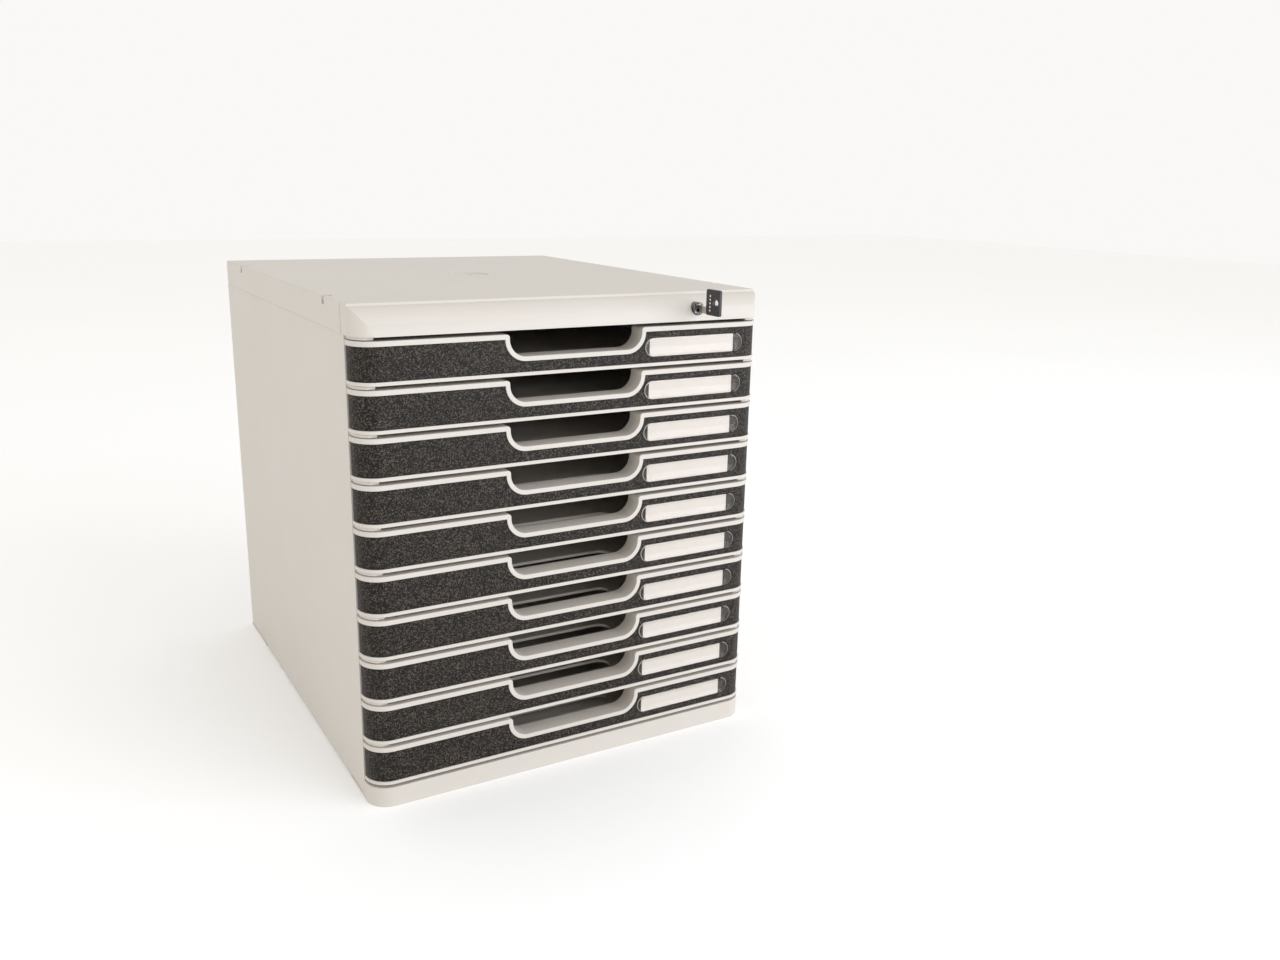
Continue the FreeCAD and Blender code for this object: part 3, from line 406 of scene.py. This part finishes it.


# %% [markdown]
# ## The label lens
# A clear strip with round ends closes each label pocket. Its outline is two half circles joined by
# straight lines; every point of the outline has a foot on the middle line between the two centres.
# Pulling the outline towards that foot by a shrinking radius gives a family of ever slimmer strips, and a
# profile says at which depth each one lies: up the wall, round a soft shoulder, and across the flat face.
# A clear strip guides light to its edge, so the strip's edge shows a thin bright arc at both ends, and
# that arc is painted as a highlight: the faces of the shoulder that lie beyond the two centres get a pale
# material of their own.

# %% Lenses over the labels
LENS_THICKNESS = 0.9
LENS_SHOULDER = 0.6
SHOULDER_ROWS = 7
BACK_CORNER = 0.05
FACE_RING = 1.6
RIM_WIDTH = 0.55
RIM_START = 0.15
OUTLINE_POINTS = 96
NO_TURN = 1e-9


def strip_outline(half):
    """Feet on the middle line and outward directions: half circles about (-half, 0) and (half, 0)."""
    turn = np.linspace(0, 2 * np.pi, OUTLINE_POINTS, endpoint=False) - np.pi / 2
    feet = np.where(np.cos(turn) >= -NO_TURN, half, -half)
    return feet, np.cos(turn), np.sin(turn)


def lens_points(low, high):
    """Rows: from the middle of the back, out, up the wall, round the shoulder and in over the face."""
    (middle_x, _, middle_z), (half_x, _, radius) = middle_and_half(low, high)
    face, back = low[1], high[1]
    bend = np.linspace(0, np.pi / 2, SHOULDER_ROWS)
    reach = np.concatenate([[0, radius - BACK_CORNER, radius], radius - LENS_SHOULDER * (1 - np.cos(bend)),
                            [radius - FACE_RING, 0]])
    depth = np.concatenate([[back, back, back - BACK_CORNER], face + LENS_SHOULDER * (1 - np.sin(bend)),
                            [face, face]])
    feet, out_x, out_z = strip_outline(half_x - radius)
    x = middle_x + feet + reach[:, None] * out_x
    z = middle_z + reach[:, None] * out_z
    return np.stack([x, np.broadcast_to(depth[:, None], x.shape), z], axis=-1)


def paint_rim_highlight(lens, low, high):
    """Pale material, a painted highlight, on the shoulder's faces past the centres: those near the outline's
    full radius.
    """
    (middle_x, _, middle_z), (half_x, _, radius) = middle_and_half(low, high)
    centres = np.zeros(len(lens.data.polygons) * 3)
    lens.data.polygons.foreach_get("center", centres)
    x, y, z = centres.reshape(-1, 3).T / MM
    past = np.abs(x - middle_x) - (half_x - radius)
    reach = np.hypot(past, z - middle_z)
    painted_highlight = (past > RIM_START * radius) & (reach > radius - RIM_WIDTH) & (y < low[1] + LENS_SHOULDER / 2)
    lens.data.materials.append(PAINTED_RIM_HIGHLIGHT)
    lens.data.polygons.foreach_set("material_index", painted_highlight.astype(np.int32))
    return int(painted_highlight.sum())


open_total = 0
for number in DRAWERS:
    low, high = (np.array(corner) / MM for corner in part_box("label_window_" + number))
    high[1] = low[1] + LENS_THICKNESS
    lens, open_edges = piece_from_grid("pocket_lens_" + number, lens_points(low, high), CLEAR,
                                       "drawer_" + number, "label_window_" + number)
    open_total += open_edges
    painted_highlight_faces = paint_rim_highlight(lens, low, high)
print("lenses:", len(DRAWERS), "faces each:", len(lens.data.polygons), "rim faces:", painted_highlight_faces,
      "open edges:", open_total)

# %% [markdown]
# ## The paper labels
# Each label is a strip of card about 0.3 mm thick. Cut card is never quite flat: it bows a little across
# its width, and its cut edges are square. The sheet is a family of rectangles about one middle, whose
# depth follows a shallow arc, y = bow * (1 - s^2), where s runs from 0 in the middle to 1 at the left and
# right end.

# %% Paper in the label pockets
PAPER_BOW = 0.12
PAPER_OUTLINE_POINTS = 128
PAPER_RINGS = (0, 0.33, 0.66, 1)


def card_points(low, high):
    """Rows: rectangles that grow from the middle of the back to its rim, then shrink over the front."""
    (middle_x, _, middle_z), (half_x, _, half_z) = middle_and_half(low, high)
    turn = np.linspace(0, 2 * np.pi, PAPER_OUTLINE_POINTS, endpoint=False)
    wave_x, wave_z = np.cos(turn), np.sin(turn)
    square = 1 / np.maximum(np.abs(wave_x), np.abs(wave_z))
    edge_x = np.clip(wave_x * square, -1, 1) * half_x
    edge_z = np.clip(wave_z * square, -1, 1) * half_z
    share = np.array(PAPER_RINGS + PAPER_RINGS[::-1])[:, None]
    front = np.repeat([0, 1], len(PAPER_RINGS))[:, None]
    x = middle_x + share * edge_x
    z = middle_z + share * edge_z
    bow = PAPER_BOW * (1 - (share * edge_x / half_x) ** 2)
    y = high[1] - bow - front * (high[1] - low[1] - PAPER_BOW)
    return np.stack([x, y, z], axis=-1)


open_total = 0
for number in DRAWERS:
    low, high = (np.array(corner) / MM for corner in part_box("label_card_" + number))
    card, open_edges = piece_from_grid("label_paper_" + number, card_points(low, high), PAPER,
                                       "drawer_" + number, "label_card_" + number)
    for face in card.data.polygons:
        face.use_smooth = False
    open_total += open_edges
print("labels:", len(DRAWERS), "open edges:", open_total)

# %% [markdown]
# ## Dots on the key
# A column of five small light dots stands on the left face of the key's head, printed and slightly
# raised. Each dot is a low dome turned about its own axis: its radius shrinks with the sine of an angle
# while its height grows with the cosine.

# %% Five printed dots
DOT_Y = -190.4
DOT_FIRST_Z = 310.0
DOT_PITCH = 2.35
DOT_RADIUS = 0.7
DOT_HEIGHT = 0.12
DOT_FOOT = 0.4
DOTS = 5
DOT_ROWS, DOT_COLUMNS = 5, 20
DOT_INK = moulded("light_print", "#E8E6E2", "#DEDCD7", roughness=0.5, pit_mm=0.4, depth_mm=0.01,
                  edge_mm=0.1)


def dome_points(face_x):
    """One dome: radius grows with the sine of the angle down, height with its cosine; a foot closes it."""
    down = np.linspace(0, np.pi / 2, DOT_ROWS)[:, None]
    around = np.linspace(0, 2 * np.pi, DOT_COLUMNS, endpoint=False)[None, :]
    radius = DOT_RADIUS * np.concatenate([np.sin(down), [[0.0]]])
    x = face_x - DOT_HEIGHT * np.concatenate([np.cos(down), [[-DOT_FOOT]]]) + 0 * around
    return x, DOT_Y + radius * np.cos(around), radius * np.sin(around)


def key_dots():
    """Joins the domes of all dots into one mesh; each closes on a point behind the face."""
    x, y, z = dome_points(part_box("key_head")[0][0] / MM)
    rows, columns = y.shape
    one = np.stack([x, y, z], axis=-1).reshape(1, -1, 3)
    rise = np.zeros((DOTS, 1, 3))
    rise[:, 0, 2] = DOT_FIRST_Z + DOT_PITCH * np.arange(DOTS)
    points = (one + rise).reshape(-1, 3)
    shift = np.arange(DOTS) * rows * columns
    quads = (grid_quads(rows, columns)[None] + shift[:, None, None]).reshape(-1, 4)
    mesh = bpy.data.meshes.new("key_dots")
    mesh.from_pydata((points * MM).tolist(), [], quads.tolist())
    return finish_piece("key_dots", mesh, DOT_INK, "key")


print("dots:", DOTS, "open edges:", key_dots()[1])

# %% [markdown]
# ## Floor
# The unit stands on a pale, matt floor that runs out of the picture on every side. It only has to hold
# the unit down with a soft shadow, so its colour is near white and just clouds a little.

# %% A pale floor
FLOOR_HALF = 6.0
floor_mesh = bpy.data.meshes.new("studio_floor")
floor_mesh.from_pydata([(-FLOOR_HALF, -FLOOR_HALF, 0), (FLOOR_HALF, -FLOOR_HALF, 0),
                        (FLOOR_HALF, FLOOR_HALF, 0), (-FLOOR_HALF, FLOOR_HALF, 0)], [], [(0, 1, 2, 3)])
floor = bpy.data.objects.new("studio_floor", floor_mesh)
bpy.context.scene.collection.objects.link(floor)
floor_mesh.materials.append(moulded("studio_floor_paint", "#FDFDFC", "#FBFBFA", roughness=0.8, pit_mm=3.0,
                                    depth_mm=0.01, edge_mm=0.1, cloud_mm=400.0))
print("floor side in m:", 2 * FLOOR_HALF)

# %% [markdown]
# ## Camera
# The camera stands to the left of the front at about the height of the lid and looks slightly down. Its
# place, turn and lens come from fitting the unit's corners to the picture. The rows of the turn are the
# camera's right, down and forward directions: azimuth about the upright, then pitch, then a small roll.

# %% The camera and its lens
CAMERA_PLACE = (-326.01, -799.96, 392.87)
CAMERA_AZIMUTH, CAMERA_PITCH, CAMERA_ROLL = -30.88, 15.13, -1.3
FOCAL_PIXELS = 1116.54
PICTURE_WIDTH = 1280
SENSOR_MM = 36.0


def camera_directions(azimuth, pitch, roll):
    """Right, down and forward of the camera as rows: roll times pitch times the turn about the upright."""
    (ca, ce, cr), (sa, se, sr) = (np.cos(np.radians([azimuth, pitch, roll])),
                                  np.sin(np.radians([azimuth, pitch, roll])))
    about_z = np.array([[ca, sa, 0], [-sa, ca, 0], [0, 0, 1]])
    level = np.array([[1, 0, 0], [0, 0, -1], [0, 1, 0]])
    tilt = np.array([[1, 0, 0], [0, ce, -se], [0, se, ce]])
    lean = np.array([[cr, sr, 0], [-sr, cr, 0], [0, 0, 1]])
    return lean @ tilt @ level @ about_z


right, down, forward = camera_directions(CAMERA_AZIMUTH, CAMERA_PITCH, CAMERA_ROLL)
optics = bpy.data.cameras.new("camera")
optics.sensor_width = SENSOR_MM
optics.lens = FOCAL_PIXELS * SENSOR_MM / PICTURE_WIDTH
camera = bpy.data.objects.new("camera", optics)
bpy.context.scene.collection.objects.link(camera)
turned = Matrix(np.column_stack([right, -down, -forward]).tolist()).to_4x4()
turned.translation = Vector(CAMERA_PLACE) * MM
camera.matrix_world = turned
bpy.context.scene.camera = camera
print("focal length in mm:", round(optics.lens, 2), "looks along", [round(float(c), 3) for c in forward])

# %% [markdown]
# ## Light
# The picture is a bright studio shot: the front is lit most, the left side a little less and the top
# least, so the main light stands low, in front and to the right, and a white surround fills the rest.
# Large lamps give soft borders. The view transform is Standard, which keeps whites white as a catalogue
# print does.

# %% Lamps and the white surround
def lamp(name, place, target, size, watts, colour):
    """A square area lamp of a colour, at a place in metres, that looks at a target."""
    data = bpy.data.lights.new(name, "AREA")
    data.shape = "SQUARE"
    data.size = size
    data.energy = watts
    data.color = linear(colour)[:3]
    holder = bpy.data.objects.new(name, data)
    bpy.context.scene.collection.objects.link(holder)
    holder.location = place
    holder.rotation_euler = (Vector(target) - Vector(place)).to_track_quat("-Z", "Y").to_euler()
    return holder


MIDDLE = (0.0, 0.0, 0.16)
SURROUND_STRENGTH = 0.95
lamp("front_softbox", (1.2, -1.9, 0.55), MIDDLE, size=2.2, watts=45.0, colour="#EDF3FF")
lamp("left_softbox", (-2.2, -0.3, 0.8), MIDDLE, size=1.6, watts=5.0, colour="#FFFFFF")
world = bpy.data.worlds.new("white_surround")
world.use_nodes = True
bpy.context.scene.world = world
surround = world.node_tree.nodes["Background"]
surround.inputs["Color"].default_value = linear("#FFFEFC")
surround.inputs["Strength"].default_value = SURROUND_STRENGTH
bpy.context.scene.view_settings.view_transform = "Standard"
